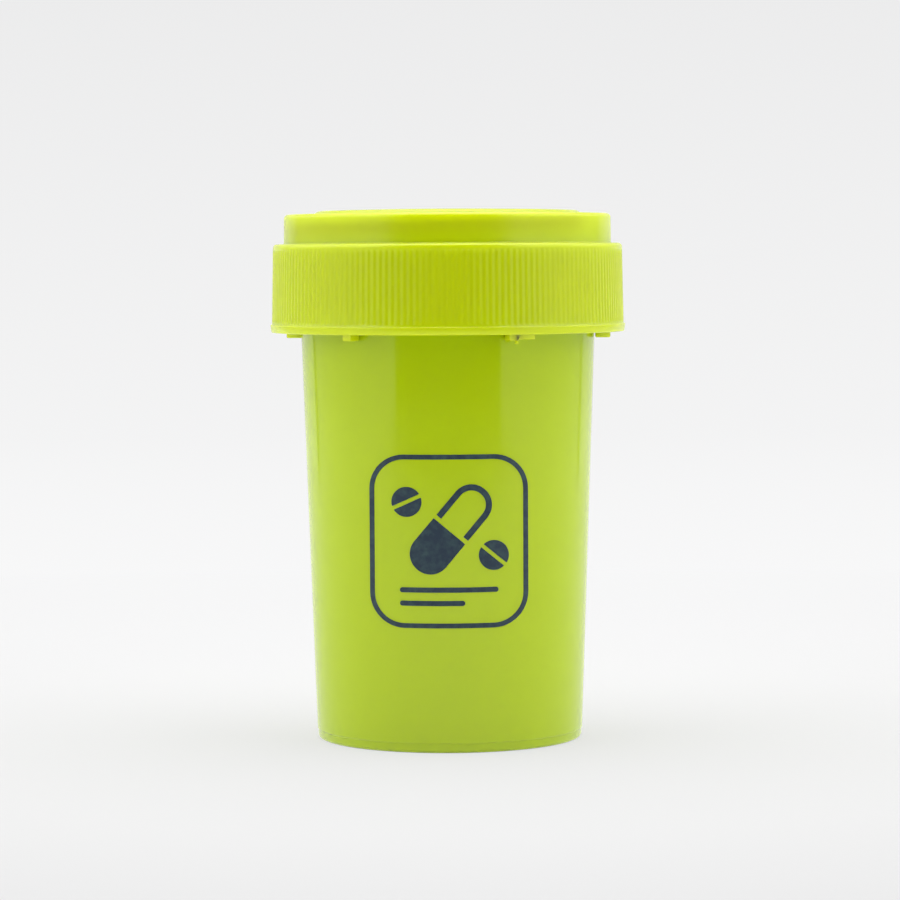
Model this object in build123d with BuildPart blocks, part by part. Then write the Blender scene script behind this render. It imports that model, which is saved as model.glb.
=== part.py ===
from build123d import *
import math
import os

# A pill vial with a reversible press-and-turn cap, each moulded in one piece.
# The vial stands on the XY plane with its axis on Z. Lengths are millimetres, angles degrees.

# Vial body
vial_height = 77.3
foot_radius = 21.5
wall_draft = 1.93
vial_wall = 1.3
floor_thickness = 1.5
heel_radius = 0.7
inner_corner = 1.2
base_recess = 0.7
foot_land = 1.4
mouth_bevel = 0.35

# Vial neck: the straight part inside the cap's skirt, with its bayonet lugs
neck_height = 11.3
vial_lug_depth = 2.4
vial_lug_thickness = 1.8
vial_lug_angle = 34
tooth_angle = 3.5
lock_tooth_drop = 1.0
stop_tooth_drop = 1.6
lug_count = 6
first_lug_angle = -67

# Threads of the neck and of the collar, which meet when the cap is turned over
thread_pitch = 3.2
thread_turns = 0.9
thread_depth = 1.0
thread_root_width = 1.7
thread_crest_width = 0.7
thread_clearance = 0.35
thread_from_rim = 0.7

# Cap: web, collar above it and the hollow hat inside the collar
web_thickness = 1.25
collar_height = 4.75
collar_wall = 1.25
collar_bevel = 0.4
hat_rise = 0.85
hat_wall = 1.2
crown_sag = 0.3
crown_flat = 12
shoulder_radius = 1.2
plug_clearance = 0.75

# Cap: skirt and flange
skirt_length = 14.2
skirt_wall = 1.3
skirt_draft = 1.1
skirt_clearance = 0.45
skirt_bevel = 0.35
flange_thickness = 1.3
flange_reach = 0.25

# Ribs of the skirt
rib_count = 180
rib_height = 0.28
valley_share = 0.55
plain_band = 1.15

# Spring lip under the web, which presses on the vial's rim
lip_height = 1.25
lip_root = 0.8
lip_tip = 0.45
lip_lean = 0.8
seat_gap = 0.05

# Lugs of the cap, and the low tail beside the first of them
cap_lug_angle = 4.2
cap_lug_height = 2.3
cap_lug_drop = 1.0
cap_lug_clearance = 0.2
cap_lug_inset = 0.25
tail_angle = 6.2
tail_height = 1.2
tail_drop = 0.5

# Sizes that follow: the vial
wall_slope = math.tan(math.radians(wall_draft))
body_top = vial_height - neck_height
neck_radius = foot_radius + body_top * wall_slope
mouth_radius = neck_radius - vial_wall
rim_middle = neck_radius - vial_wall / 2
floor_top = base_recess + floor_thickness
inner_foot_radius = foot_radius + floor_top * wall_slope - vial_wall
land_inner_radius = foot_radius - heel_radius - foot_land
lug_spacing = 360 / lug_count
passage_angle = lug_spacing - vial_lug_angle
vial_lug_radius = neck_radius + vial_lug_depth

# Sizes that follow: the cap
lip_bottom = vial_height + seat_gap
web_bottom = lip_bottom + lip_height
web_top = web_bottom + web_thickness
collar_top = web_top + collar_height
collar_bore = neck_radius + thread_depth + thread_clearance
collar_radius = collar_bore + collar_wall
hat_top = collar_top + hat_rise
hat_radius = mouth_radius - plug_clearance
hat_bore = hat_radius - hat_wall
shoulder_top = hat_top - crown_sag
skirt_slope = math.tan(math.radians(skirt_draft))
skirt_bottom = web_top - skirt_length
flange_top = skirt_bottom + flange_thickness
skirt_bore = vial_lug_radius + skirt_clearance
skirt_radius = skirt_bore + skirt_wall + rib_height
skirt_foot_radius = skirt_radius + (web_top - flange_top) * skirt_slope
flange_radius = skirt_foot_radius + flange_reach
cap_lug_bottom = skirt_bottom - cap_lug_drop
cap_lug_top = cap_lug_bottom + cap_lug_height
cap_lug_inner = neck_radius + cap_lug_clearance
cap_lug_outer = skirt_bore - cap_lug_inset
vial_lug_bottom = cap_lug_top + seat_gap


def ring_sector(inner, outer, start, span):
    """Return a flat piece of a ring between two radii, from a start angle over a span."""
    with BuildSketch() as piece:
        with BuildLine():
            rim = CenterArc((0, 0), outer, start, span)
            bore = CenterArc((0, 0), inner, start, span)
            Line(rim @ 0, bore @ 0)
            Line(rim @ 1, bore @ 1)
        make_face()
    return piece.sketch


def rounding(x, y, radius, start):
    """Return four points on a quarter arc about a centre, for a corner rounded in three flats."""
    arc = CenterArc((x, y), radius, start, 90, mode=Mode.PRIVATE)
    return [arc @ 0, arc @ (1 / 3), arc @ (2 / 3), arc @ 1]


def nearest(shape, x, y):
    """Return the corner of a sketch that lies nearest to a place in its plane."""
    return shape.vertices().sort_by_distance((x, y, 0))[0]


def thread_ridge(radius, side, top):
    """Return a helical ridge on a wall: side 1 stands outwards, side -1 inwards."""
    root = radius - side * thread_depth / 5
    crest = radius + side * thread_depth
    rise = thread_pitch * thread_turns
    with BuildPart() as ridge:
        with BuildLine() as path:
            Helix(thread_pitch, rise, radius)
        with BuildSketch(Plane.XZ):
            with BuildLine():
                Polyline(
                    (root, -thread_root_width / 2),
                    (crest, -thread_crest_width / 2),
                    (crest, thread_crest_width / 2),
                    (root, thread_root_width / 2),
                    close=True,
                )
            make_face()
        sweep(path=path.wires()[0], is_frenet=True)
    return ridge.part.translate((0, 0, top - rise - thread_root_width / 2))


# Neck thread, broken by a passage for each of the cap's lugs
with BuildPart() as neck_thread:
    add(thread_ridge(neck_radius, 1, vial_height - thread_from_rim))
    with BuildSketch(Plane.XY.offset(body_top)):
        for number in range(lug_count):
            middle = first_lug_angle + number * lug_spacing
            add(ring_sector(mouth_radius, vial_lug_radius, middle - passage_angle / 2, passage_angle))
    extrude(amount=neck_height, mode=Mode.SUBTRACT)

# Vial: one turned section with a foot ring, a heel rounded in three flats and a straight neck
with BuildPart() as vial:
    with BuildSketch(Plane.XZ) as section:
        with BuildLine():
            heel = rounding(foot_radius - heel_radius, heel_radius, heel_radius, 270)
            Polyline(
                (0, base_recess),
                (land_inner_radius - base_recess, base_recess),
                (land_inner_radius, 0),
                *heel,
                (neck_radius, body_top),
                (neck_radius, vial_height),
                (mouth_radius, vial_height),
                (mouth_radius, body_top),
                (inner_foot_radius, floor_top),
                (0, floor_top),
                close=True,
            )
        make_face()
        chamfer(nearest(section, inner_foot_radius, floor_top), inner_corner)
        chamfer(nearest(section, neck_radius, vial_height), mouth_bevel)
    revolve(axis=Axis.Z)

    # Bayonet lugs, each with a short lock tooth at one end and a long stop tooth at the other
    for number in range(lug_count):
        start = first_lug_angle + passage_angle / 2 + number * lug_spacing
        stop = start + vial_lug_angle - tooth_angle
        with BuildSketch(Plane.XY.offset(vial_lug_bottom)):
            add(ring_sector(rim_middle, vial_lug_radius, start, vial_lug_angle))
        extrude(amount=vial_lug_thickness)
        with BuildSketch(Plane.XY.offset(vial_lug_bottom)):
            add(ring_sector(rim_middle, vial_lug_radius, start, tooth_angle))
        extrude(amount=-lock_tooth_drop)
        with BuildSketch(Plane.XY.offset(vial_lug_bottom)):
            add(ring_sector(rim_middle, vial_lug_radius, stop, tooth_angle))
        extrude(amount=-stop_tooth_drop)
    add(neck_thread.part)
vial.part.label = "vial"

# One valley between two ribs: it follows the skirt's draft, from the flange to a run-out at the top
valley_width = 2 * math.pi * skirt_radius / rib_count * valley_share
valley_taper = math.degrees(math.atan(rib_height / (valley_width / 2)))
valley_top = web_top - plain_band
valley_foot = skirt_bottom - rib_height
with BuildPart() as valley:
    with BuildSketch(Plane.XZ):
        with BuildLine():
            Polyline(
                (skirt_radius + plain_band * skirt_slope - rib_height, valley_top),
                (skirt_foot_radius + (flange_top - valley_foot) * skirt_slope - rib_height, valley_foot),
                (skirt_foot_radius + rib_height * 4, valley_foot),
                (skirt_foot_radius + rib_height * 4, valley_top + rib_height * 4),
                close=True,
            )
        make_face()
    extrude(amount=valley_width / 2, both=True, taper=valley_taper)
    split(bisect_by=Plane.XY.offset(flange_top), keep=Keep.TOP)

# Collar thread, the one that the neck thread screws into
collar_thread = thread_ridge(collar_bore, -1, collar_top - thread_from_rim)

# Cap: one turned section, then its ribs, lugs and inner thread
with BuildPart() as cap:
    with BuildSketch(Plane.XZ) as half:
        with BuildLine():
            shoulder = rounding(
                hat_radius - shoulder_radius, shoulder_top - shoulder_radius, shoulder_radius, 0
            )
            Polyline(
                (0, hat_top),
                (crown_flat, hat_top),
                *reversed(shoulder),
                (hat_radius, web_top),
                (collar_bore, web_top),
                (collar_bore, collar_top),
                (collar_radius, collar_top),
                (collar_radius, web_top),
                (skirt_radius, web_top),
                (skirt_foot_radius, flange_top),
                (flange_radius, flange_top),
                (flange_radius, skirt_bottom),
                (skirt_bore, skirt_bottom),
                (skirt_bore, web_bottom),
                (rim_middle + lip_tip / 2 - lip_lean + lip_root, web_bottom),
                (rim_middle + lip_tip / 2, lip_bottom),
                (rim_middle - lip_tip / 2, lip_bottom),
                (rim_middle + lip_tip / 2 - lip_lean, web_bottom),
                (hat_bore, web_bottom),
                (hat_bore, shoulder_top - hat_wall),
                (0, shoulder_top - hat_wall),
                close=True,
            )
        make_face()
        chamfer(nearest(half, collar_radius, collar_top), collar_bevel)
        chamfer(nearest(half, skirt_radius, web_top), skirt_bevel)
    revolve(axis=Axis.Z)

    # Bayonet lugs: each grows from the skirt's bore and hangs below the flange
    for number in range(lug_count):
        start = first_lug_angle - cap_lug_angle / 2 + number * lug_spacing
        with BuildSketch(Plane.XY.offset(skirt_bottom)):
            add(ring_sector(cap_lug_inner, skirt_bore + skirt_wall / 4, start, cap_lug_angle))
        extrude(amount=cap_lug_height - cap_lug_drop)
        with BuildSketch(Plane.XY.offset(cap_lug_bottom)):
            add(ring_sector(cap_lug_inner, cap_lug_outer, start, cap_lug_angle))
        extrude(amount=cap_lug_height)

    # Low tail beside the first lug
    start = first_lug_angle + cap_lug_angle / 2
    with BuildSketch(Plane.XY.offset(skirt_bottom)):
        add(ring_sector(cap_lug_inner, skirt_bore + skirt_wall / 4, start, tail_angle))
    extrude(amount=tail_height - tail_drop)
    with BuildSketch(Plane.XY.offset(skirt_bottom - tail_drop)):
        add(ring_sector(cap_lug_inner, cap_lug_outer, start, tail_angle))
    extrude(amount=tail_height)
    add(collar_thread)

    # Ribs, left standing between the valleys
    with PolarLocations(0, rib_count):
        add(valley.part, mode=Mode.SUBTRACT)
cap.part.label = "cap"

os.makedirs("parts", exist_ok=True)
export_step(vial.part, "parts/vial.step")
export_step(cap.part, "parts/cap.step")
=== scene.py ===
"""Dressed model of a pill vial with a reversible cap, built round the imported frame."""

import logging
import math
from dataclasses import dataclass, field
from enum import Enum

import bpy
from mathutils import Matrix


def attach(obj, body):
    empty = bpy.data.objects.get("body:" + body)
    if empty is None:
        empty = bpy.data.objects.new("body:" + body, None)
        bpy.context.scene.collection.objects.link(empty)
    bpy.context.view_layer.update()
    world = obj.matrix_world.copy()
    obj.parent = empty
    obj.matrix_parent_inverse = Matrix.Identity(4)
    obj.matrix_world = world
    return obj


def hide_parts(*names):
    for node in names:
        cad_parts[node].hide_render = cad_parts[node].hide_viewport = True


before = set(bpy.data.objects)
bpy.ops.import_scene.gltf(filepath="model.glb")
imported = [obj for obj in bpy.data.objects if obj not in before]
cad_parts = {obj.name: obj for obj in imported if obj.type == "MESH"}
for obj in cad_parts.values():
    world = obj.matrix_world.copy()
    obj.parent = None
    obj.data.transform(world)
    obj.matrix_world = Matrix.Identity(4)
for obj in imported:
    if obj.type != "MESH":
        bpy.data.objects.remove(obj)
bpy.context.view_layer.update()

MM = 0.001
FULL_TURN = 2 * math.pi
MERGE_REACH = 0.002
log = logging.getLogger("pill_vial")

Point = tuple[float, float]
Colour = tuple[float, float, float]


class Ray(Enum):
    """Kinds of ray that see a plain colour on the floor, the backdrop and the sky."""

    CAMERA = "Is Camera Ray"
    GLOSSY = "Is Glossy Ray"
    TRANSMISSION = "Is Transmission Ray"


class Way(Enum):
    """Side of a wall on which a thread stands."""

    OUTWARDS = 1
    INWARDS = -1


def lerp(a: float, b: float, share: float) -> float:
    """Return the value a share of the way from a to b."""
    return a + (b - a) * share


def arc(centre: Point, radius: float, start: float, stop: float, steps: int) -> list[Point]:
    """Return points along an arc of a turned profile.

    Args:
        centre: Centre of the arc, as radius and height in millimetres.
        radius: Radius of the arc in millimetres.
        start: Angle of the first point in degrees, from the outward direction.
        stop: Angle of the last point in degrees.
        steps: Number of flats along the arc.

    Returns:
        The points, both ends included.
    """
    angles = [math.radians(lerp(start, stop, i / steps)) for i in range(steps + 1)]
    return [(centre[0] + radius * math.cos(a), centre[1] + radius * math.sin(a)) for a in angles]


class Bench:
    """Modelling steps by operator, shared by the makers of the pieces."""

    @staticmethod
    def clear_selection() -> None:
        """Deselect every object."""
        for obj in bpy.context.selected_objects:
            obj.select_set(False)

    @classmethod
    def only(cls, obj: bpy.types.Object) -> None:
        """Select one object and make it active."""
        cls.clear_selection()
        obj.select_set(True)
        bpy.context.view_layer.objects.active = obj

    @classmethod
    def seed(cls, name: str, at: Point) -> bpy.types.Object:
        """Add a primitive and shrink it to one corner in the XZ plane, left in edit mode.

        Args:
            name: Name of the new object.
            at: Radius and height of the corner in millimetres.

        Returns:
            The object, its origin at the frame's origin.
        """
        cls.clear_selection()
        bpy.ops.mesh.primitive_plane_add(size=MM)
        obj = bpy.context.active_object
        obj.name = name
        obj.data.name = name
        bpy.ops.object.mode_set(mode="EDIT")
        bpy.ops.mesh.select_mode(type="VERT")
        bpy.ops.mesh.select_all(action="SELECT")
        bpy.ops.mesh.merge(type="CENTER")
        bpy.ops.mesh.select_all(action="SELECT")
        bpy.ops.transform.translate(value=(at[0] * MM, 0, at[1] * MM))
        return obj

    @classmethod
    def trace(cls, name: str, profile: list[Point], closed: bool = False) -> bpy.types.Object:
        """Draw a profile in the XZ plane by extruding a corner along its points.

        Args:
            name: Name of the new object.
            profile: Points as radius and height in millimetres.
            closed: Whether the last point joins the first and the outline is filled.

        Returns:
            The object, in edit mode with all of it selected.
        """
        obj = cls.seed(name, profile[0])
        for last, point in zip(profile, profile[1:]):
            step = ((point[0] - last[0]) * MM, 0, (point[1] - last[1]) * MM)
            bpy.ops.mesh.extrude_region_move(TRANSFORM_OT_translate={"value": step})
        bpy.ops.mesh.select_all(action="SELECT")
        if closed:
            bpy.ops.mesh.edge_face_add()
        return obj

    @staticmethod
    def tidy() -> None:
        """Merge doubles, close open rims and turn the faces outwards, in edit mode."""
        bpy.ops.mesh.select_all(action="SELECT")
        bpy.ops.mesh.remove_doubles(threshold=MERGE_REACH * MM)
        bpy.ops.mesh.select_all(action="DESELECT")
        bpy.ops.mesh.select_non_manifold(extend=False, use_wire=False, use_multi_face=False,
                                         use_non_contiguous=False, use_verts=False)
        bpy.ops.mesh.fill_holes(sides=0)
        bpy.ops.mesh.select_all(action="SELECT")
        bpy.ops.mesh.normals_make_consistent(inside=False)
        bpy.ops.object.mode_set(mode="OBJECT")

    @classmethod
    def turned(cls, name: str, profile: list[Point], sides: int) -> bpy.types.Object:
        """Turn a profile into a closed body of revolution about the Z axis.

        Args:
            name: Name of the new object.
            profile: Points from the axis round to the axis, in millimetres.
            sides: Number of flats round the axis.

        Returns:
            The finished body, in object mode.
        """
        obj = cls.trace(name, profile)
        bpy.ops.mesh.spin(steps=sides, angle=FULL_TURN, center=(0, 0, 0), axis=(0, 0, 1))
        cls.tidy()
        return obj

    @classmethod
    def block(cls, name: str, profile: list[Point], start: float, span: float,
              steps: int, edge: float) -> bpy.types.Object:
        """Spin a filled outline over part of a turn, with its edges eased.

        Args:
            name: Name of the new object.
            profile: Outline in millimetres, first point not repeated.
            start: Angle of the first end in degrees.
            span: Width in degrees.
            steps: Number of flats along the span.
            edge: Width of the eased edges in millimetres.

        Returns:
            The finished block, in object mode.
        """
        obj = cls.trace(name, profile, closed=True)
        bpy.ops.mesh.spin(steps=steps, angle=-math.radians(span), center=(0, 0, 0), axis=(0, 0, 1))
        cls.tidy()
        cls.turn(obj, start)
        ease = obj.modifiers.new("eased edges", "BEVEL")
        ease.width = edge * MM
        ease.segments = 2
        ease.limit_method = "ANGLE"
        ease.angle_limit = math.radians(35)
        cls.only(obj)
        bpy.ops.object.modifier_apply(modifier=ease.name)
        return obj

    @classmethod
    def turn(cls, obj: bpy.types.Object, degrees: float) -> None:
        """Turn a piece's mesh about the Z axis, and leave the object unturned."""
        cls.only(obj)
        obj.rotation_euler = (0, 0, math.radians(degrees))
        bpy.ops.object.transform_apply(location=True, rotation=True, scale=True)

    @classmethod
    def ring_of(cls, first: bpy.types.Object, count: int) -> list[bpy.types.Object]:
        """Copy a piece round the axis, each copy with its own mesh.

        Args:
            first: The modelled piece.
            count: Number of pieces in the whole ring.

        Returns:
            All the pieces, the first one among them.
        """
        ring = [first]
        for number in range(1, count):
            cls.only(first)
            bpy.ops.object.duplicate(linked=False)
            copy = bpy.context.active_object
            cls.turn(copy, 360 / count * number)
            ring.append(copy)
        return ring

    @classmethod
    def repeat_round(cls, obj: bpy.types.Object, count: int) -> None:
        """Repeat a slice round the Z axis into a whole closed body.

        Args:
            obj: The slice, which starts on the XZ plane.
            count: Number of slices in the whole turn.
        """
        cls.clear_selection()
        bpy.ops.object.empty_add(rotation=(0, 0, FULL_TURN / count))
        pivot = bpy.context.active_object
        array = obj.modifiers.new("round", "ARRAY")
        array.count = count
        array.use_relative_offset = False
        array.use_object_offset = True
        array.offset_object = pivot
        array.use_merge_vertices = True
        array.merge_threshold = MERGE_REACH * MM
        cls.only(obj)
        bpy.ops.object.modifier_apply(modifier=array.name)
        bpy.data.objects.remove(pivot)
        bpy.ops.object.mode_set(mode="EDIT")
        cls.tidy()

    @classmethod
    def join(cls, main: bpy.types.Object, others: list[bpy.types.Object]) -> bpy.types.Object:
        """Join pieces into one object, named as the main one."""
        cls.only(main)
        for obj in others:
            obj.select_set(True)
        bpy.ops.object.join()
        return main

    @classmethod
    def smooth(cls, obj: bpy.types.Object, angle: float = 32) -> None:
        """Shade a piece smooth, with edges sharper than an angle kept."""
        cls.only(obj)
        bpy.ops.object.shade_smooth_by_angle(angle=math.radians(angle))

    @classmethod
    def thread(cls, name: str, radius: float, way: Way, top: float, start: float, span: float,
               form: "Thread") -> bpy.types.Object:
        """Model a stretch of a right-hand thread with the Screw modifier.

        Args:
            name: Name of the new object.
            radius: Radius of the wall that carries it, in millimetres.
            way: Side of the wall on which it stands.
            top: Height of the upper edge of the whole thread's root, in millimetres.
            start: Angle of the stretch's lower end in degrees, from the thread's start.
            span: Length of the stretch in degrees.
            form: Sizes of the thread.

        Returns:
            The finished stretch, in object mode.
        """
        rise = form.pitch * form.turns
        level = top - rise - form.root / 2 + form.pitch * start / 360
        inner = radius - way.value * form.depth / 5
        outer = radius + way.value * form.depth
        middle = lerp(inner, outer, 0.85)
        profile = [
            (inner, level - form.root / 2), (middle, level - lerp(form.root, form.crest, 0.85) / 2),
            (outer, level - form.crest / 2 * 0.7), (outer, level + form.crest / 2 * 0.7),
            (middle, level + lerp(form.root, form.crest, 0.85) / 2), (inner, level + form.root / 2),
        ]
        obj = cls.trace(name, profile)
        bpy.ops.mesh.edge_face_add()
        bpy.ops.mesh.delete(type="ONLY_FACE")
        bpy.ops.object.mode_set(mode="OBJECT")
        screw = obj.modifiers.new("helix", "SCREW")
        screw.axis = "Z"
        screw.angle = math.radians(span)
        screw.screw_offset = form.pitch * span / 360 * MM
        screw.steps = screw.render_steps = max(4, round(span / 2.5))
        screw.use_normal_calculate = True
        cls.only(obj)
        bpy.ops.object.modifier_apply(modifier=screw.name)
        bpy.ops.object.mode_set(mode="EDIT")
        cls.tidy()
        cls.turn(obj, start)
        return obj


class Nodes:
    """Steps of a shader tree, shared by the finishes and the studio."""

    @staticmethod
    def noise(tree: bpy.types.NodeTree, place: bpy.types.Node, scale: float,
              detail: float) -> bpy.types.NodeSocket:
        """Add a noise pattern of a scale per metre on Object coordinates."""
        noise = tree.nodes.new("ShaderNodeTexNoise")
        noise.inputs["Scale"].default_value = scale
        noise.inputs["Detail"].default_value = detail
        tree.links.new(place.outputs["Object"], noise.inputs["Vector"])
        return noise.outputs["Fac"]

    @staticmethod
    def span(tree: bpy.types.NodeTree, value: bpy.types.NodeSocket, low: float, high: float,
             to_low: float = 0.0, to_high: float = 1.0) -> bpy.types.NodeSocket:
        """Map a value from one range to another, clamped."""
        node = tree.nodes.new("ShaderNodeMapRange")
        node.inputs["From Min"].default_value = low
        node.inputs["From Max"].default_value = high
        node.inputs["To Min"].default_value = to_low
        node.inputs["To Max"].default_value = to_high
        tree.links.new(value, node.inputs["Value"])
        return node.outputs["Result"]

    @staticmethod
    def bump(tree: bpy.types.NodeTree, height: bpy.types.NodeSocket, strength: float,
             distance: float, under: bpy.types.NodeSocket | None = None) -> bpy.types.NodeSocket:
        """Add a bump of a height, on top of another one where given."""
        node = tree.nodes.new("ShaderNodeBump")
        node.inputs["Strength"].default_value = strength
        node.inputs["Distance"].default_value = distance
        tree.links.new(height, node.inputs["Height"])
        if under is not None:
            tree.links.new(under, node.inputs["Normal"])
        return node.outputs["Normal"]

    @staticmethod
    def blend(tree: bpy.types.NodeTree, share: bpy.types.NodeSocket, first: Colour,
              second: Colour) -> bpy.types.NodeSocket:
        """Mix two plain colours by a share from zero to one."""
        mix = tree.nodes.new("ShaderNodeMix")
        mix.data_type = "RGBA"
        mix.inputs["A"].default_value = (*first, 1)
        mix.inputs["B"].default_value = (*second, 1)
        tree.links.new(share, mix.inputs["Factor"])
        return mix.outputs["Result"]

    @staticmethod
    def choose(tree: bpy.types.NodeTree, share: bpy.types.NodeSocket, first: bpy.types.NodeSocket,
               second: bpy.types.NodeSocket) -> bpy.types.NodeSocket:
        """Mix two shaders by a share from zero to one."""
        mix = tree.nodes.new("ShaderNodeMixShader")
        tree.links.new(share, mix.inputs["Fac"])
        tree.links.new(first, mix.inputs[1])
        tree.links.new(second, mix.inputs[2])
        return mix.outputs[0]

    @staticmethod
    def maths(tree: bpy.types.NodeTree, kind: str, operation: str,
               *values: bpy.types.NodeSocket) -> bpy.types.Node:
        """Add a node of plain or vector maths, its inputs linked in order."""
        node = tree.nodes.new(kind)
        node.operation = operation
        for number, value in enumerate(values):
            tree.links.new(value, node.inputs[number])
        return node

    @classmethod
    def levels(cls, tree: bpy.types.NodeTree, value: bpy.types.NodeSocket,
               levels: tuple[Point, ...], cool: float = 1.0) -> bpy.types.NodeSocket:
        """Return grey levels that follow a value, and which may exceed one.

        Args:
            tree: The node tree to add to.
            value: Socket with the value to follow.
            levels: Values, rising, each with its level.
            cool: Level of the blue for a grey of one.

        Returns:
            The socket with the colour.
        """
        low, high = levels[0][0], levels[-1][0]
        top = max(level for _, level in levels) * cool
        ramp = tree.nodes.new("ShaderNodeValToRGB")
        stops = ramp.color_ramp.elements
        while len(stops) < len(levels):
            stops.new(0.5)
        for stop, (where, level) in zip(stops, levels):
            grey = level / top
            stop.position = (where - low) / (high - low)
            stop.color = (grey, grey, grey * cool, 1)
        tree.links.new(cls.span(tree, value, low, high), ramp.inputs["Fac"])
        scale = cls.maths(tree, "ShaderNodeVectorMath", "SCALE", ramp.outputs["Color"])
        scale.inputs["Scale"].default_value = top
        return scale.outputs[0]

    @staticmethod
    def shine(tree: bpy.types.NodeTree, kind: str,
              colour: bpy.types.NodeSocket | Colour) -> bpy.types.NodeSocket:
        """Add a shader of a kind, with its colour plain or linked."""
        node = tree.nodes.new(kind)
        if isinstance(colour, tuple):
            node.inputs["Color"].default_value = (*colour, 1)
        else:
            tree.links.new(colour, node.inputs["Color"])
        return node.outputs[0]


@dataclass(frozen=True)
class MouldedPlastic:
    """Opaque polypropylene as it comes from the mould: satin skin, light soaking in a little."""

    name: str
    base: Colour
    pale: Colour
    glow: float = 0.3
    glow_reach: float = 3.0
    glow_colours: Colour = (1.0, 1.0, 0.25)
    roughness: float = 0.15
    index: float = 1.49
    flow_scale: float = 30
    haze_scale: float = 160
    ripple_scale: float = 70
    ripple_height: float = 0.04
    skin_scale: float = 1500
    skin_height: float = 0.008

    def material(self) -> bpy.types.Material:
        """Build the node material.

        Returns:
            The material, its patterns on Object coordinates.
        """
        mat = bpy.data.materials.new(self.name)
        mat.use_nodes = True
        tree = mat.node_tree
        shader = tree.nodes["Principled BSDF"]
        shader.inputs["IOR"].default_value = self.index
        shader.inputs["Subsurface Weight"].default_value = self.glow
        shader.inputs["Subsurface Radius"].default_value = self.glow_colours
        shader.inputs["Subsurface Scale"].default_value = self.glow_reach * MM
        place = tree.nodes.new("ShaderNodeTexCoord")

        flow = Nodes.span(tree, Nodes.noise(tree, place, self.flow_scale, 2), 0.35, 0.75)
        tree.links.new(Nodes.blend(tree, flow, self.base, self.pale), shader.inputs["Base Color"])

        haze = Nodes.noise(tree, place, self.haze_scale, 4)
        rough = Nodes.span(tree, haze, 0.25, 0.75, self.roughness - 0.02, self.roughness + 0.03)
        tree.links.new(rough, shader.inputs["Roughness"])

        skin = Nodes.noise(tree, place, self.skin_scale, 5)
        ripple = Nodes.noise(tree, place, self.ripple_scale, 1)
        bump = Nodes.bump(tree, ripple, 0.12, self.ripple_height * MM)
        bump = Nodes.bump(tree, skin, 0.1, self.skin_height * MM, bump)
        tree.links.new(bump, shader.inputs["Normal"])
        return mat


@dataclass(frozen=True)
class Thread:
    """Sizes shared by the neck's thread and the collar's thread, in millimetres."""

    pitch: float = 3.2
    turns: float = 0.9
    depth: float = 1.0
    root: float = 1.7
    crest: float = 0.7
    from_rim: float = 0.7


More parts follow.
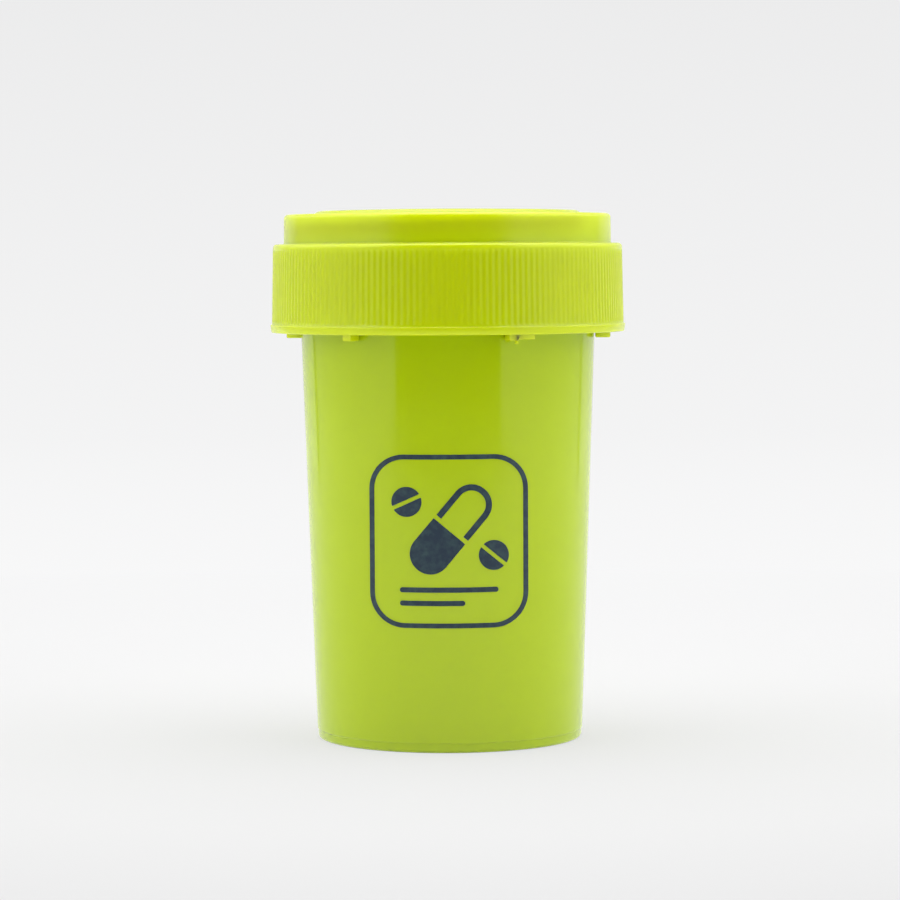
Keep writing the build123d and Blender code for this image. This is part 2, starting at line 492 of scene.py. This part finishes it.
@dataclass
class Vial:
    """The tapered tub with its neck, bayonet lugs and broken thread. Lengths in millimetres."""

    finish: MouldedPlastic
    height: float = 77.3
    foot: float = 21.5
    body_top: float = 66.0
    neck_row: float = 6
    neck: float = 23.724
    mouth: float = 22.424
    inner_foot: float = 20.27
    floor: float = 2.2
    recess: float = 0.7
    land: float = 19.4
    land_ease: float = 0.25
    disc_ring: float = 8
    heel: float = 0.6
    heel_line: float = 1.6
    heel_line_half: float = 0.06
    heel_step: float = 0.1
    inner_corner: float = 2.0
    lip: float = 0.3
    sides: int = 360
    lug_reach: float = 26.124
    lug_bottom: float = 67.0
    lug_thickness: float = 1.8
    lug_angle: float = 34
    lug_root: float = 0.5
    lug_edge: float = 0.2
    tooth_angle: float = 3.5
    tooth_root: float = 0.6
    tooth_edge: float = 0.15
    lock_drop: float = 1.0
    stop_drop: float = 1.3
    lugs: int = 6
    first_passage: float = -67
    thread: Thread = field(default_factory=Thread)

    def profile(self) -> list[Point]:
        """Return the turned section, from the underside's middle round to the inside's."""
        top = self.height
        inset = self.foot - self.heel_step
        line = self.heel_line_half
        heel = [*arc((inset - self.heel, self.heel), self.heel, -90, -2, 7),
                (inset + 0.03, self.heel_line - line), (self.foot + 0.04, self.heel_line + line)]
        corner = self.inner_corner
        return [
            (0, self.recess), (self.disc_ring, self.recess),
            (self.land - self.recess - self.land_ease, self.recess),
            (self.land - self.recess, self.recess - 0.08), (self.land - 0.2, 0.12), (self.land, 0.02),
            (self.land + self.land_ease, 0), *heel,
            (self.neck, self.body_top), (self.neck, self.body_top + self.neck_row),
            *arc((self.neck - self.lip, top - self.lip), self.lip, 0, 90, 4),
            *arc((self.mouth + self.lip, top - self.lip), self.lip, 90, 180, 4),
            (self.mouth, self.body_top),
            *arc((self.inner_foot - corner + 0.06, self.floor + corner), corner, 0, -90, 6),
            (self.disc_ring, self.floor), (0, self.floor),
        ]

    def build(self) -> bpy.types.Object:
        """Model the vial and dress it.

        Returns:
            The vial as one object in the frame.
        """
        tub = Bench.turned("vial_tub", self.profile(), self.sides)
        Bench.join(tub, self.lug_ring() + self.neck_thread())
        Bench.smooth(tub)
        tub.data.materials.clear()
        tub.data.materials.append(self.finish.material())
        return tub

    def lug_ring(self) -> list[bpy.types.Object]:
        """Return the bayonet lugs, each with a short and a long tooth under its ends."""
        inner = self.neck - self.lug_root
        low, high = self.lug_bottom, self.lug_bottom + self.lug_thickness
        start = self.first_passage + (360 / self.lugs - self.lug_angle) / 2
        plate = [(inner, low), (self.lug_reach, low), (self.lug_reach, high), (inner, high)]
        lug = Bench.block("lug", plate, start, self.lug_angle, 24, self.lug_edge)
        ring = Bench.ring_of(lug, self.lugs)
        teeth = ((start, self.lock_drop), (start + self.lug_angle - self.tooth_angle, self.stop_drop))
        for angle, drop in teeth:
            foot = [(inner, low - drop), (self.lug_reach, low - drop),
                    (self.lug_reach, low + self.tooth_root), (inner, low + self.tooth_root)]
            tooth = Bench.block("tooth", foot, angle, self.tooth_angle, 4, self.tooth_edge)
            ring += Bench.ring_of(tooth, self.lugs)
        return ring

    def neck_thread(self) -> list[bpy.types.Object]:
        """Return the stretches of thread that stand between the passages."""
        spacing = 360 / self.lugs
        half_gap = (spacing - self.lug_angle) / 2
        end = 360 * self.thread.turns
        stretches = []
        for number in range(self.lugs):
            start = (self.first_passage + half_gap + number * spacing) % 360
            span = min(self.lug_angle, end - start)
            if span > 0:
                stretches.append(Bench.thread("ridge", self.neck, Way.OUTWARDS,
                                              self.height - self.thread.from_rim, start, span,
                                              self.thread))
        return stretches


@dataclass
class Cap:
    """The press-and-turn cap: hat, collar, web, ribbed skirt, flange and lugs, in millimetres."""

    finish: MouldedPlastic
    top: float = 85.45
    crown_sag: float = 0.31
    crown_rings: tuple[float, ...] = (0, 3, 6, 9, 12, 15, 17.5, 19.4)
    hat: float = 21.674
    hat_bore: float = 20.474
    roof: float = 83.95
    roof_bevel: float = 0.4
    disc_ring: float = 8
    shoulder: float = 1.2
    collar_bore: float = 25.074
    collar: float = 26.34
    collar_foot: float = 26.38
    collar_top: float = 84.6
    collar_round: float = 0.7
    collar_foot_round: float = 0.22
    groove_round: float = 0.3
    web_top: float = 79.85
    web_bottom: float = 78.6
    lip_bottom: float = 77.35
    lip_outer: float = 23.299
    lip_tip: float = 22.849
    lip_inner: float = 22.499
    skirt: float = 28.15
    skirt_foot: float = 28.402
    skirt_bore: float = 26.574
    skirt_round: float = 0.65
    skirt_bevel: float = 0.25
    web_corner: float = 0.35
    flange: float = 28.63
    flange_round: float = 0.2
    flange_lean: float = 0.1
    flange_top: float = 66.95
    skirt_bottom: float = 65.65
    ribs: int = 180
    rib_sides: int = 6
    rib_height: float = 0.1
    rib_first: float = 79.05
    rib_last: float = 67.1
    rib_zone: float = 0.35
    row_reach: float = 0.01
    lug_inner: float = 23.924
    lug_outer: float = 26.324
    lug_bottom: float = 64.65
    lug_top: float = 66.95
    lug_angle: float = 3.7
    lug_root: float = 0.5
    lug_edge: float = 0.22
    root_step: float = 0.1
    lugs: int = 6
    first_lug: float = -67
    tail_angle: float = 6.45
    tail_bottom: float = 64.8
    tail_top: float = 66.35
    tail_inset: float = 0.04
    tail_overlap: float = 1.0
    tail_edge: float = 0.18
    nib_radii: Point = (25.2, 25.75)
    nib_angle: float = 1.2
    nib_drop: float = 0.5
    nib_root: float = 0.15
    nib_edge: float = 0.1
    thread: Thread = field(default_factory=Thread)

    def skirt_radius(self, height: float) -> float:
        """Return the radius over the ribs at a height."""
        share = (self.web_top - height) / (self.web_top - self.flange_top)
        return lerp(self.skirt, self.skirt_foot, share)

    def rib_rows(self) -> list[tuple[float, float]]:
        """Return the heights of the ribbed rows, each with its share of the full depth."""
        start, end = self.rib_first, self.rib_last
        return [
            (start, 0.0), (start - 0.12, 0.25), (start - 0.3, 0.7), (start - 0.5, 0.93),
            (start - 0.75, 1.0), (start - 4.2, 1.0), (start - 7.6, 1.0), (end + 0.45, 1.0),
            (end + 0.25, 0.8), (end + 0.1, 0.35), (end, 0.0),
        ]

    def profile(self) -> list[Point]:
        """Return the turned section, from the crown's middle round to the roof's."""
        edge = self.hat - self.shoulder
        crown = [(r, self.top - self.crown_sag * (r / edge) ** 2) for r in self.crown_rings]
        cheek = arc((edge, self.top - self.crown_sag - self.shoulder), self.shoulder, 88, 0, 7)
        groove = self.web_top
        rim = self.collar_top
        corner = self.groove_round
        ease = self.collar_round
        foot = self.collar_foot_round
        turn = self.skirt_round
        bead = self.flange_round
        bevel = self.skirt_bevel
        skirt_edge = self.skirt_radius(groove - turn)
        ribbed = [(self.skirt_radius(z), z) for z, _ in self.rib_rows()]
        return [
            *crown, *cheek, (self.hat + 0.02, groove + 0.35),
            *arc((self.hat + corner + 0.02, groove + corner), corner, 180, 270, 3),
            (self.collar_bore - corner, groove), (self.collar_bore, groove + corner),
            *arc((self.collar_bore + corner, rim - corner), corner, 180, 90, 4),
            *arc((self.collar - ease, rim - ease), ease, 90, 0, 8),
            (lerp(self.collar, self.collar_foot, 0.5), lerp(rim, groove, 0.5)),
            *arc((self.collar_foot + foot, groove + foot), foot, 180, 270, 4),
            *arc((skirt_edge - turn, groove - turn), turn, 90, 0, 8), *ribbed,
            (self.skirt_foot + 0.02, self.flange_top + 0.05), (self.skirt_foot + 0.04, self.flange_top),
            *arc((self.flange - bead, self.flange_top - bead), bead, 90, 0, 5),
            *arc((self.flange - self.flange_lean - bead, self.skirt_bottom + bead), bead, -6, -90, 4),
            (self.skirt_bore + bevel, self.skirt_bottom), (self.skirt_bore, self.skirt_bottom + bevel),
            (self.skirt_bore, self.web_bottom - self.web_corner),
            (self.skirt_bore - self.web_corner, self.web_bottom),
            (self.lip_outer, self.web_bottom), (self.lip_outer, self.lip_bottom),
            (self.lip_tip, self.lip_bottom), (self.lip_inner, self.web_bottom),
            (self.hat_bore, self.web_bottom), (self.hat_bore, self.roof - self.roof_bevel),
            (self.hat_bore - self.roof_bevel, self.roof), (self.disc_ring, self.roof), (0, self.roof),
        ]

    def build(self) -> bpy.types.Object:
        """Model the cap and dress it.

        Returns:
            The cap as one object in the frame.
        """
        body = Bench.trace("cap_shell", self.profile())
        bpy.ops.mesh.spin(steps=self.rib_sides, angle=-FULL_TURN / self.ribs, center=(0, 0, 0),
                          axis=(0, 0, 1))
        bpy.ops.object.mode_set(mode="OBJECT")
        self.shape_rib(body)
        Bench.repeat_round(body, self.ribs)
        Bench.join(body, self.lug_ring() + [self.tail(), self.nib(), self.collar_thread()])
        Bench.smooth(body)
        body.data.materials.clear()
        body.data.materials.append(self.finish.material())
        return body

    def shape_rib(self, body: bpy.types.Object) -> None:
        """Press the valleys beside one rib into its slice of the skirt, row by row.

        Args:
            body: The slice of the cap that holds one rib.
        """
        step = FULL_TURN / (self.ribs * self.rib_sides)
        mesh = body.data
        Bench.only(body)
        for z, share in self.rib_rows():
            for phase in range(1, self.rib_sides):
                dip = (1 - math.cos(FULL_TURN * phase / self.rib_sides)) / 2
                scale = 1 - self.rib_height * share * dip / self.skirt_radius(z)
                for vert in mesh.vertices:
                    here = abs(vert.co.z / MM - z) < self.row_reach
                    outside = math.hypot(vert.co.x, vert.co.y) / MM > self.skirt - self.rib_zone
                    turned = round(math.atan2(vert.co.y, vert.co.x) / step)
                    vert.select = here and outside and turned == phase
                bpy.ops.object.mode_set(mode="EDIT")
                bpy.ops.transform.resize(value=(scale, scale, 1), center_override=(0, 0, 0))
                bpy.ops.mesh.select_all(action="DESELECT")
                bpy.ops.object.mode_set(mode="OBJECT")

    def hanging(self, bottom: float, top: float, inset: float) -> list[Point]:
        """Return the outline of a block that grows from the skirt's bore and hangs below it.

        Args:
            bottom: Height of the block's foot in millimetres.
            top: Height of its upper face.
            inset: How far its sides stand back from a lug's sides.

        Returns:
            The outline's corners, as radius and height.
        """
        inner, outer = self.lug_inner + inset, self.lug_outer - inset
        root = self.skirt_bore + self.lug_root - inset
        return [
            (inner, bottom), (outer, bottom), (outer, self.skirt_bottom + self.root_step),
            (root, self.skirt_bottom + 2 * self.root_step), (root, top), (inner, top),
        ]

    def lug_ring(self) -> list[bpy.types.Object]:
        """Return the lugs that hang inside the skirt's mouth."""
        outline = self.hanging(self.lug_bottom, self.lug_top, 0)
        start = self.first_lug - self.lug_angle / 2
        lug = Bench.block("lug", outline, start, self.lug_angle, 6, self.lug_edge)
        return Bench.ring_of(lug, self.lugs)

    def tail(self) -> bpy.types.Object:
        """Return the low tail beside the first lug."""
        outline = self.hanging(self.tail_bottom, self.tail_top, self.tail_inset)
        return Bench.block("tail", outline, self.first_lug + self.lug_angle / 2 - self.tail_overlap,
                           self.tail_angle + self.tail_overlap, 8, self.tail_edge)

    def nib(self) -> bpy.types.Object:
        """Return the little nib of the mould's gate under the first lug."""
        low, high = self.lug_bottom - self.nib_drop, self.lug_bottom + self.nib_root
        inner, outer = self.nib_radii
        outline = [(inner, low), (outer, low), (outer, high), (inner, high)]
        return Bench.block("nib", outline, self.first_lug + self.nib_angle, self.nib_angle, 2,
                           self.nib_edge)

    def collar_thread(self) -> bpy.types.Object:
        """Return the thread inside the collar."""
        return Bench.thread("ridge", self.collar_bore, Way.INWARDS,
                            self.collar_top - self.thread.from_rim, 0, 360 * self.thread.turns,
                            self.thread)


@dataclass(frozen=True)
class Ink:
    """Dark navy ink, pad-printed on plastic and a little worn."""

    name: str = "front ink"
    dark: Colour = (0.012, 0.03, 0.055)
    light: Colour = (0.03, 0.065, 0.075)
    speck_scale: float = 900
    roughness: Point = (0.38, 0.5)
    index: float = 1.45

    def material(self) -> bpy.types.Material:
        """Build the node material.

        Returns:
            The material, its patterns on Object coordinates.
        """
        mat = bpy.data.materials.new(self.name)
        mat.use_nodes = True
        tree = mat.node_tree
        shader = tree.nodes["Principled BSDF"]
        shader.inputs["IOR"].default_value = self.index
        place = tree.nodes.new("ShaderNodeTexCoord")
        speck = Nodes.noise(tree, place, self.speck_scale, 4)
        worn = Nodes.span(tree, speck, 0.4, 0.7)
        tree.links.new(Nodes.blend(tree, worn, self.dark, self.light), shader.inputs["Base Color"])
        rough = Nodes.span(tree, speck, 0.3, 0.7, *self.roughness)
        tree.links.new(rough, shader.inputs["Roughness"])
        return mat


@dataclass
class FrontPrint:
    """A generic pharmacy pictogram on the vial's front. Lengths in millimetres."""

    ink: Ink
    centre: float = 33.4
    start: float = -25.5
    size: Point = (24.8, 27.2)
    frame_corner: float = 5.4
    frame_line: float = 0.75
    capsule_at: Point = (0.3, 1.9)
    capsule_tilt: float = 50
    capsule_size: Point = (16.4, 6.4)
    capsule_line: float = 0.95
    capsule_gap: float = 0.7
    tablets: tuple[tuple[Point, float], ...] = (((-6.6, 6.2), 25), ((7.0, -2.2), -40))
    tablet_radius: float = 2.35
    score: float = 0.6
    rules: tuple[tuple[Point, float], ...] = (((0, -7.6), 15.4), ((-2.6, -9.7), 10.2))
    rule_width: float = 0.8
    strip: float = 0.5
    row: float = 2.0
    lift: float = 0.004
    film: float = 0.03

    def build(self, vial: bpy.types.Object) -> bpy.types.Object:
        """Draw the flat shapes, wrap them on the vial and give them a film's thickness.

        Args:
            vial: The dressed vial, which the ink lies on.

        Returns:
            The print as one object in the frame.
        """
        shapes = [self.frame_ring(), *self.capsule(self.capsule_at, self.capsule_tilt)]
        for at, tilt in self.tablets:
            shapes += self.tablet(at, tilt)
        shapes += [self.rule(at, length) for at, length in self.rules]
        flat = Bench.join(shapes[0], shapes[1:])
        flat.name = flat.data.name = "front_print"
        self.cut_strips(flat)
        wrap = flat.modifiers.new("on the wall", "SHRINKWRAP")
        wrap.target = vial
        wrap.wrap_method = "PROJECT"
        wrap.use_project_y = True
        wrap.use_project_x = wrap.use_project_z = False
        wrap.use_positive_direction = True
        wrap.use_negative_direction = False
        wrap.wrap_mode = "ON_SURFACE"
        wrap.offset = self.lift * MM
        bpy.ops.object.modifier_apply(modifier=wrap.name)
        film = flat.modifiers.new("film", "SOLIDIFY")
        film.thickness = self.film * MM
        film.offset = 1
        bpy.ops.object.modifier_apply(modifier=film.name)
        flat.data.materials.clear()
        flat.data.materials.append(self.ink.material())
        return flat

    def place(self, obj: bpy.types.Object, at: Point, degrees: float) -> bpy.types.Object:
        """Stand a shape drawn on the XY plane upright before the vial, its face to the front.

        Args:
            obj: The flat shape about the world's origin, in edit mode.
            at: Place on the print, right and up from its centre, in millimetres.
            degrees: Turn of the shape on the print.

        Returns:
            The same object.
        """
        bpy.ops.object.mode_set(mode="OBJECT")
        Bench.only(obj)
        turn = Matrix.Rotation(math.radians(90), 4, "X") @ Matrix.Rotation(math.radians(degrees), 4, "Z")
        obj.matrix_world = Matrix.Translation(
            (at[0] * MM, self.start * MM, (self.centre + at[1]) * MM)) @ turn
        bpy.ops.object.transform_apply(location=True, rotation=True, scale=True)
        return obj

    def stadium(self, length: float, width: float, corner: float) -> bpy.types.Object:
        """Return a flat rounded rectangle on the XY plane, left in edit mode and selected."""
        Bench.clear_selection()
        bpy.ops.mesh.primitive_plane_add(size=1)
        obj = bpy.context.active_object
        bpy.ops.object.mode_set(mode="EDIT")
        bpy.ops.mesh.select_all(action="SELECT")
        bpy.ops.transform.resize(value=(length * MM, width * MM, 1), center_override=(0, 0, 0))
        bpy.ops.mesh.bevel(offset=corner * MM, offset_type="OFFSET", segments=12, affect="VERTICES")
        bpy.ops.mesh.select_all(action="SELECT")
        return obj

    def hollow(self, width: float) -> None:
        """Leave only a border of a width from the selected flat face, in edit mode."""
        bpy.ops.mesh.inset(thickness=width * MM, depth=0)
        bpy.ops.mesh.delete(type="FACE")

    def cut_strips(self, flat: bpy.types.Object) -> None:
        """Cut the upright shapes into narrow strips, so that they can follow the wall.

        Args:
            flat: All the shapes as one object, standing before the vial.
        """
        Bench.only(flat)
        bpy.ops.object.mode_set(mode="EDIT")
        reach, tall = self.size[0] / 2, self.size[1] / 2
        cuts = [((x * self.strip * MM, 0, 0), (1, 0, 0))
                for x in range(-int(reach / self.strip), int(reach / self.strip) + 1)]
        cuts += [((0, 0, (self.centre + z * self.row) * MM), (0, 0, 1))
                 for z in range(-int(tall / self.row), int(tall / self.row) + 1)]
        for place, normal in cuts:
            bpy.ops.mesh.select_all(action="SELECT")
            bpy.ops.mesh.bisect(plane_co=place, plane_no=normal)
        bpy.ops.object.mode_set(mode="OBJECT")

    def frame_ring(self) -> bpy.types.Object:
        """Return the rounded frame round the pictogram."""
        obj = self.stadium(*self.size, self.frame_corner)
        self.hollow(self.frame_line)
        return self.place(obj, (0, 0), 0)

    def capsule(self, at: Point, degrees: float) -> list[bpy.types.Object]:
        """Return a tilted capsule, one half solid and the other an outline."""
        halves = []
        for side in (1, -1):
            obj = self.stadium(*self.capsule_size, self.capsule_size[1] / 2 - 0.05)
            if side > 0:
                self.hollow(self.capsule_line)
                bpy.ops.mesh.select_all(action="SELECT")
            bpy.ops.mesh.bisect(plane_co=(side * self.capsule_gap / 2 * MM, 0, 0),
                                plane_no=(side, 0, 0), clear_inner=True)
            halves.append(self.place(obj, at, degrees))
        return halves

    def tablet(self, at: Point, degrees: float) -> list[bpy.types.Object]:
        """Return a round tablet with its score line left open."""
        halves = []
        for side in (1, -1):
            Bench.clear_selection()
            bpy.ops.mesh.primitive_circle_add(vertices=48, radius=self.tablet_radius * MM,
                                              fill_type="NGON")
            obj = bpy.context.active_object
            bpy.ops.object.mode_set(mode="EDIT")
            bpy.ops.mesh.select_all(action="SELECT")
            bpy.ops.mesh.bisect(plane_co=(0, side * self.score / 2 * MM, 0), plane_no=(0, side, 0),
                                clear_inner=True)
            halves.append(self.place(obj, at, degrees))
        return halves

    def rule(self, at: Point, length: float) -> bpy.types.Object:
        """Return a short round-ended line."""
        obj = self.stadium(length, self.rule_width, self.rule_width / 2 - 0.01)
        return self.place(obj, at, 0)


@dataclass(frozen=True)
class Levels:
    """Brightness of the studio along a place or a direction: pairs of where and how bright."""

    floor_seen: tuple[Point, ...] = (
        (-0.15, 0.755), (0.0, 0.80), (0.16, 0.885), (0.3, 0.935), (0.6, 0.92), (0.95, 0.9))
    floor_mirrored: tuple[Point, ...] = (
        (-0.7, 0.0), (-0.5, 0.13), (-0.37, 0.42), (-0.29, 0.85), (-0.2, 0.98), (0.9, 1.0))
    wall: tuple[Point, ...] = ((0.0, 0.9), (0.08, 0.875), (0.19, 0.84), (1.2, 0.8))
    around: tuple[Point, ...] = (
        (-1.0, 0.0), (-0.75, 0.0), (-0.74, 1.0), (0.61, 1.0), (0.625, 0.2),
        (0.655, 0.2), (0.67, 1.4), (1.0, 1.4))
    rising: tuple[Point, ...] = (
        (-0.2, 1.05), (-0.09, 1.05), (-0.05, 0.65), (0.0, 0.52), (0.08, 0.6), (0.3, 1.9), (1.0, 1.9))
    overhead: tuple[Point, ...] = ((0.0, 0.0), (0.85, 0.0), (0.865, 1.0), (1.0, 1.0))
    panel: float = 3.2
    sky_seen: Colour = (0.85, 0.85, 0.86)
    matt: float = 0.72
    cool: float = 1.004


@dataclass
class Studio:
    """Floor, backdrop, sky and camera, in metres."""

    levels: Levels = field(default_factory=Levels)
    wall_at: float = 0.95
    wall_half_width: float = 1.06
    wall_height: float = 1.2
    floor_width: float = 5
    floor_front: float = 2.5
    tent_side: float = 0.42
    tent_edge: float = 0.01
    shadow_share: float = 0.25
    shadow_near: float = 0.1
    shadow_far: float = 0.3
    focal_length: float = 139.6
    camera_at: tuple[float, float, float] = (0.00024, -0.5645, 0.07767)
    tilt: float = 3.165
    roll: float = -0.31

    def build(self) -> None:
        """Set up everything that is not part of the object."""
        self.camera()
        self.floor()
        self.backdrop()
        self.sky()

    def camera(self) -> None:
        """Place the camera where the photograph was taken from."""
        bpy.ops.object.camera_add()
        cam = bpy.context.active_object
        turn = Matrix.Rotation(math.radians(90 - self.tilt), 4, "X") @ Matrix.Rotation(
            math.radians(self.roll), 4, "Z")
        cam.matrix_world = Matrix.Translation(self.camera_at) @ turn
        cam.data.lens = self.focal_length
        cam.data.sensor_width = 36
        cam.data.clip_start = 0.01
        bpy.context.scene.camera = cam

    @staticmethod
    def sheet(name: str, width: float, depth: float) -> bpy.types.Object:
        """Add a flat sheet about the world's origin, left in edit mode and selected."""
        Bench.clear_selection()
        bpy.ops.mesh.primitive_plane_add(size=1)
        obj = bpy.context.active_object
        obj.name = name
        bpy.ops.object.mode_set(mode="EDIT")
        bpy.ops.mesh.select_all(action="SELECT")
        bpy.ops.transform.resize(value=(width, depth, 1), center_override=(0, 0, 0))
        return obj

    def floor(self) -> bpy.types.Object:
        """Return the pale floor."""
        obj = self.sheet("floor", self.floor_width, self.wall_at + self.floor_front)
        bpy.ops.transform.translate(value=(0, (self.wall_at - self.floor_front) / 2, 0))
        bpy.ops.mesh.subdivide(number_cuts=6)
        bpy.ops.object.mode_set(mode="OBJECT")
        obj.data.materials.append(self.surface(
            "floor", "Y", self.levels.floor_seen, self.levels.floor_mirrored, self.shadow_share))
        return obj

    def backdrop(self) -> bpy.types.Object:
        """Return the pale wall behind the object."""
        obj = self.sheet("backdrop", self.wall_half_width * 2, self.wall_height)
        bpy.ops.transform.rotate(value=math.radians(90), orient_axis="X", center_override=(0, 0, 0))
        bpy.ops.transform.translate(value=(0, self.wall_at, self.wall_height / 2))
        bpy.ops.mesh.subdivide(number_cuts=6)
        bpy.ops.object.mode_set(mode="OBJECT")
        obj.data.materials.append(self.surface(
            "backdrop", "Z", self.levels.wall, self.levels.wall, 0.0))
        return obj

    def surface(self, name: str, axis: str, seen: tuple[Point, ...], mirrored: tuple[Point, ...],
                lit_share: float) -> bpy.types.Material:
        """Build a pale matt surface whose glow follows its place: painted light that stands in for the
        studio's light falling over it.

        Args:
            name: Name of the material.
            axis: Object axis that the levels follow.
            seen: Places in metres along the axis, each with the level that the camera sees.
            mirrored: The same for what gloss and clear plastic see.
            lit_share: Share of the seen level that is real light, which keeps the shadow.

        Returns:
            The material.
        """
        mat = bpy.data.materials.new(name)
        mat.use_nodes = True
        tree = mat.node_tree
        tree.nodes.clear()
        out = tree.nodes.new("ShaderNodeOutputMaterial")
        place = tree.nodes.new("ShaderNodeTexCoord")
        split = tree.nodes.new("ShaderNodeSeparateXYZ")
        tree.links.new(place.outputs["Object"], split.inputs["Vector"])
        along = split.outputs[axis]
        matt = self.levels.matt
        lit = Nodes.shine(tree, "ShaderNodeBsdfDiffuse", (matt, matt, matt))
        seen_glow = self._glow(tree, along, seen)
        mirror_glow = self._glow(tree, along, mirrored)
        if lit_share:
            mirror_glow = self._inside_tent(tree, split.outputs["X"], mirror_glow)
            away = Nodes.maths(tree, "ShaderNodeVectorMath", "LENGTH", place.outputs["Object"])
            near = Nodes.span(tree, away.outputs["Value"], self.shadow_near, self.shadow_far,
                              lit_share, 0.0)
            seen_glow = Nodes.choose(tree, near, seen_glow, lit)
        rays = tree.nodes.new("ShaderNodeLightPath")
        either = Nodes.maths(tree, "ShaderNodeMath", "MAXIMUM", rays.outputs[Ray.GLOSSY.value],
                              rays.outputs[Ray.TRANSMISSION.value])
        for_mirror = Nodes.choose(tree, either.outputs[0], lit, mirror_glow)
        for_camera = Nodes.choose(tree, rays.outputs[Ray.CAMERA.value], for_mirror, seen_glow)
        tree.links.new(for_camera, out.inputs["Surface"])
        return mat

    def _glow(self, tree: bpy.types.NodeTree, place: bpy.types.NodeSocket,
              levels: tuple[Point, ...]) -> bpy.types.NodeSocket:
        """Return a glow whose strength follows a place through a row of levels."""
        colour = Nodes.levels(tree, place, levels, self.levels.cool)
        return Nodes.shine(tree, "ShaderNodeEmission", colour)

    def _inside_tent(self, tree: bpy.types.NodeTree, across: bpy.types.NodeSocket,
                     glow: bpy.types.NodeSocket) -> bpy.types.NodeSocket:
        """Let a glow end at the tent's sides, and show the sky beyond them."""
        side = Nodes.maths(tree, "ShaderNodeMath", "ABSOLUTE", across)
        past = Nodes.span(tree, side.outputs[0], self.tent_side - self.tent_edge,
                          self.tent_side + self.tent_edge)
        beyond = Nodes.shine(tree, "ShaderNodeBsdfTransparent", (1.0, 1.0, 1.0))
        return Nodes.choose(tree, past, glow, beyond)

    def sky(self) -> None:
        """Light the object as in a small white tent: a bright ceiling panel, pale sides, a dark front."""
        world = bpy.data.worlds.new("studio")
        bpy.context.scene.world = world
        world.use_nodes = True
        tree = world.node_tree
        tree.nodes.clear()
        out = tree.nodes.new("ShaderNodeOutputWorld")
        place = tree.nodes.new("ShaderNodeTexCoord")
        way = place.outputs["Generated"]
        flat = Nodes.maths(tree, "ShaderNodeVectorMath", "MULTIPLY", way)
        flat.inputs[1].default_value = (1, 1, 0)
        unit = Nodes.maths(tree, "ShaderNodeVectorMath", "NORMALIZE", flat.outputs[0])
        heading = tree.nodes.new("ShaderNodeSeparateXYZ")
        tree.links.new(unit.outputs[0], heading.inputs[0])
        height = tree.nodes.new("ShaderNodeSeparateXYZ")
        tree.links.new(way, height.inputs[0])

        around = Nodes.levels(tree, heading.outputs["Y"], self.levels.around)
        rising = Nodes.levels(tree, height.outputs["Z"], self.levels.rising)
        sides = Nodes.maths(tree, "ShaderNodeVectorMath", "MULTIPLY", around, rising)
        mix = tree.nodes.new("ShaderNodeMix")
        mix.data_type = "RGBA"
        overhead = Nodes.levels(tree, height.outputs["Z"], self.levels.overhead)
        tree.links.new(overhead, mix.inputs["Factor"])
        tree.links.new(sides.outputs[0], mix.inputs["A"])
        panel = self.levels.panel
        mix.inputs["B"].default_value = (panel, panel, panel, 1)
        light = Nodes.shine(tree, "ShaderNodeBackground", mix.outputs["Result"])
        plain = Nodes.shine(tree, "ShaderNodeBackground", self.levels.sky_seen)
        rays = tree.nodes.new("ShaderNodeLightPath")
        shown = Nodes.choose(tree, rays.outputs[Ray.CAMERA.value], light, plain)
        tree.links.new(shown, out.inputs["Surface"])


VIAL_PLASTIC = MouldedPlastic("vial plastic", (0.44, 0.585, 0.0), (0.45, 0.595, 0.002),
                              roughness=0.11)
CAP_PLASTIC = MouldedPlastic("cap plastic", (0.51, 0.615, 0.0), (0.52, 0.625, 0.002),
                             glow=0.8, glow_reach=5.0, roughness=0.24)


def report(obj: bpy.types.Object) -> None:
    """Log one finished piece with its size in triangles."""
    count = sum(len(face.vertices) - 2 for face in obj.data.polygons)
    log.info("%s: %d triangles", obj.name, count)


def main() -> None:
    """Build the pieces in order, fix them to the frame, and light them."""
    logging.basicConfig(level=logging.INFO, format="%(name)s %(message)s")
    bpy.context.scene.view_settings.view_transform = "Standard"
    Studio().build()

    vial = Vial(VIAL_PLASTIC).build()
    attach(vial, "vial")
    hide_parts("vial")
    report(vial)

    cap = Cap(CAP_PLASTIC).build()
    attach(cap, "cap")
    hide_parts("cap")
    report(cap)

    ink = FrontPrint(Ink()).build(vial)
    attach(ink, "vial")
    report(ink)

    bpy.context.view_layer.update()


if __name__ == "__main__":
    main()
